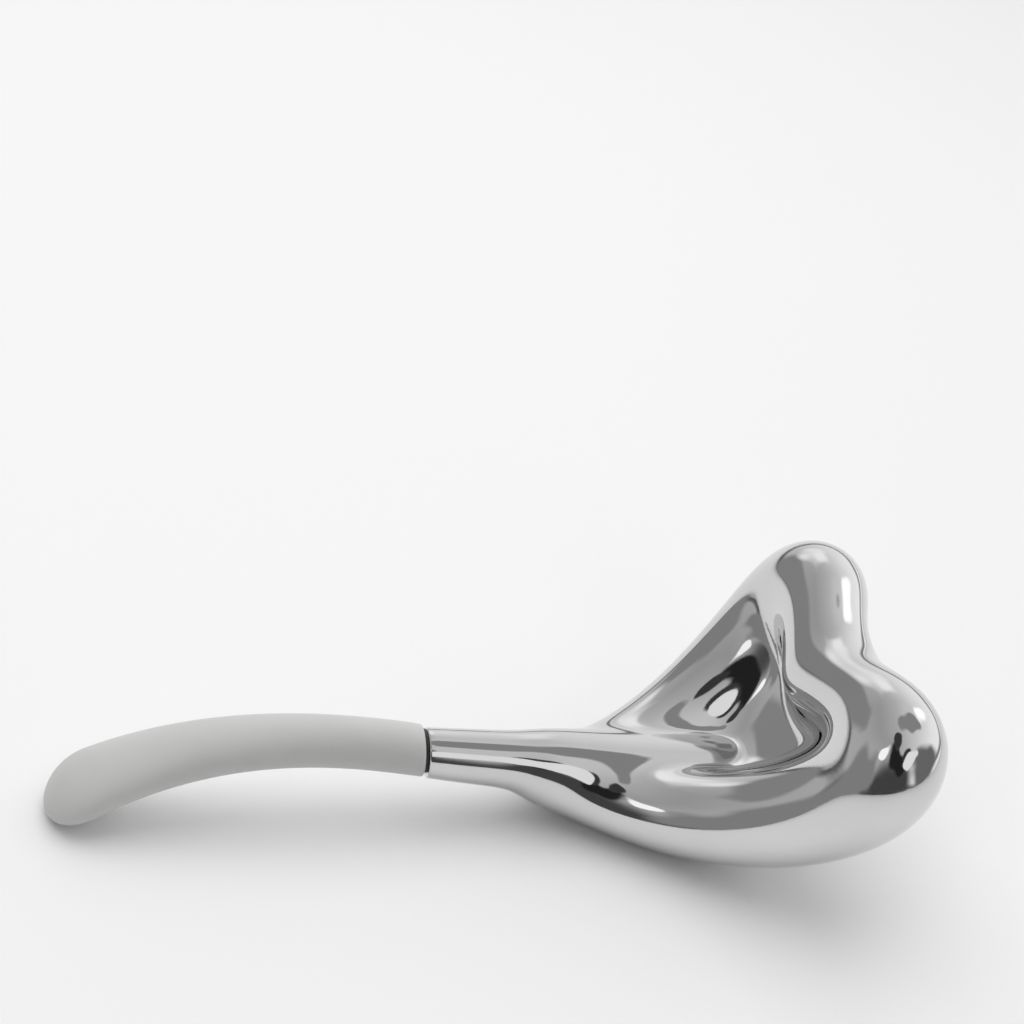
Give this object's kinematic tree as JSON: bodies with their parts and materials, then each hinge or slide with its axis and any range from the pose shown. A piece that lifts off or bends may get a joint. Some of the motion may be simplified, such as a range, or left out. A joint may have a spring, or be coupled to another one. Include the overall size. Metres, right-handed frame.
{
  "type": "facial sculpting massager",
  "caption": "Hand-held massage tool with a hollow, heart-shaped polished steel scoop on a slim neck and a bent silicone-covered handle.",
  "frame": {"origin": "centre of the tool's outline on the floor it lies on", "axes": "+X towards the head, +Y across, +Z out of the hollow palm side, up from the floor"},
  "size_m": [0.1783, 0.0798, 0.0541],
  "materials": {
    "polished_steel": "mirror-polished stainless steel",
    "turned_steel": "turned steel",
    "dark_rubber": "matt black rubber",
    "brass": "plain turned brass",
    "core_steel": "forged steel rod",
    "silicone": "satin milky-white silicone"
  },
  "bodies": {
    "root": {"palm_shell": "polished_steel", "back_shell": "polished_steel", "neck_plug": "turned_steel", "threaded_stud": "turned_steel", "joint_washer": "dark_rubber", "thread_insert": "brass", "handle_core": "core_steel", "grip_sleeve": "silicone"}
  },
  "joints": []
}
